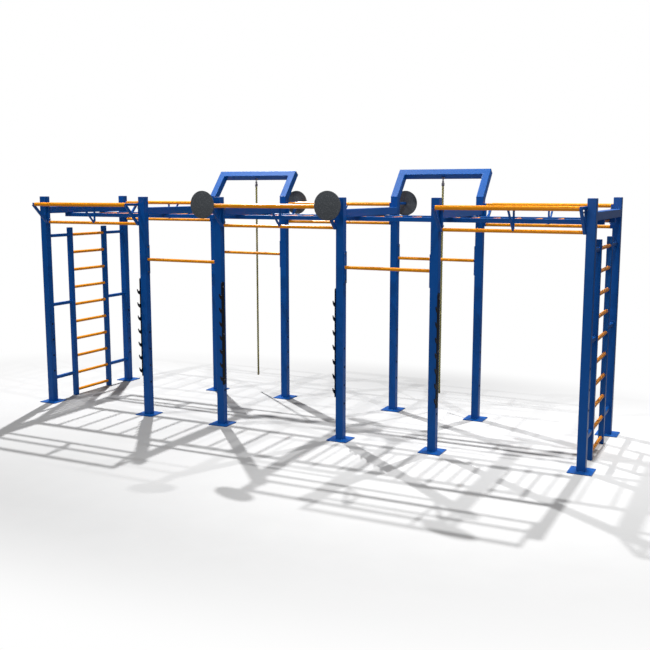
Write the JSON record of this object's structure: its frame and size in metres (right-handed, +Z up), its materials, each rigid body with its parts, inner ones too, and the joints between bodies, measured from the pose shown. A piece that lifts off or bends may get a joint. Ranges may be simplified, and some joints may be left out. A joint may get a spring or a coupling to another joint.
{
  "type": "crossfit station",
  "caption": "Free-standing steel training rig with a row of bays, pull-up bars, an overhead ladder, end ladders, rope arches, target discs and barbell rack combs.",
  "frame": {"origin": "on the floor, at the centre of the rig", "axes": "+X along the length of the rig, +Y towards the row of posts with the leaning arches, +Z up"},
  "size_m": [7.266, 2.31, 3.0916],
  "materials": {
    "blue_paint": "gloss powder coat",
    "orange_paint": "gloss powder coat",
    "black_paint": "satin powder coat",
    "target_rubber": "matt, speckled",
    "blue_plastic": "moulded",
    "dark_steel": "dark zinc",
    "rope_fibre": "twisted three-strand fibre"
  },
  "bodies": {
    "root": {"bar_brackets_back": "blue_paint", "bar_brackets_front": "blue_paint", "bar_end_plates": "blue_paint", "barbell_rack_1": "black_paint", "barbell_rack_2": "black_paint", "barbell_rack_3": "black_paint", "barbell_rack_4": "black_paint", "base_plates": "blue_paint", "crossbeam_1": "blue_paint", "crossbeam_2": "blue_paint", "crossbeam_3": "blue_paint", "crossbeam_4": "blue_paint", "crossbeam_5": "blue_paint", "crossbeam_6": "blue_paint", "disc_arms": "blue_paint", "hanger_u_bolts": "dark_steel", "hex_bolts": "dark_steel", "inner_bars": "orange_paint", "ladder_connectors": "blue_paint", "ladder_rungs_left": "orange_paint", "ladder_rungs_right": "orange_paint", "ladder_stringers_left": "blue_paint", "ladder_stringers_right": "blue_paint", "lower_bars": "orange_paint", "monkey_rail_back": "blue_paint", "monkey_rail_front": "blue_paint", "monkey_rungs": "orange_paint", "narrow_bars_back": "orange_paint", "narrow_bars_front": "orange_paint", "post_back_1": "blue_paint", "post_back_2": "blue_paint", "post_back_3": "blue_paint", "post_back_4": "blue_paint", "post_back_5": "blue_paint", "post_back_6": "blue_paint", "post_front_1": "blue_paint", "post_front_2": "blue_paint", "post_front_3": "blue_paint", "post_front_4": "blue_paint", "post_front_5": "blue_paint", "post_front_6": "blue_paint", "pullup_bar_back_left": "orange_paint", "pullup_bar_back_middle": "orange_paint", "pullup_bar_back_right": "orange_paint", "pullup_bar_front_left": "orange_paint", "pullup_bar_front_middle": "orange_paint", "pullup_bar_front_right": "orange_paint", "rope_arch_left": "blue_paint", "rope_arch_right": "blue_paint", "target_disc_back_left": "target_rubber", "target_disc_back_right": "target_rubber", "target_disc_front_left": "target_rubber", "target_disc_front_right": "target_rubber", "tube_caps": "blue_plastic"},
    "shackle_left": {"shackle_left": "dark_steel"},
    "rope_left": {"rope_ferrule_left": "dark_steel", "climbing_rope_left": "rope_fibre"},
    "shackle_right": {"shackle_right": "dark_steel"},
    "rope_right": {"rope_ferrule_right": "dark_steel", "climbing_rope_right": "rope_fibre"}
  },
  "joints": [
    {"name": "swing_left", "type": "hinge", "parent": "root", "child": "shackle_left", "pos_m": [-1.354, 1.01322, 2.97846], "axis": [1, 0, 0], "range_deg": [-6, 45]},
    {"name": "sway_left", "type": "hinge", "parent": "shackle_left", "child": "rope_left", "pos_m": [-1.354, 1.01322, 2.93906], "axis": [0, 1, 0], "range_deg": [-28, 28]},
    {"name": "swing_right", "type": "hinge", "parent": "root", "child": "shackle_right", "pos_m": [1.354, 1.01322, 2.97846], "axis": [1, 0, 0], "range_deg": [-6, 45]},
    {"name": "sway_right", "type": "hinge", "parent": "shackle_right", "child": "rope_right", "pos_m": [1.354, 1.01322, 2.93906], "axis": [0, 1, 0], "range_deg": [-28, 28]}
  ]
}
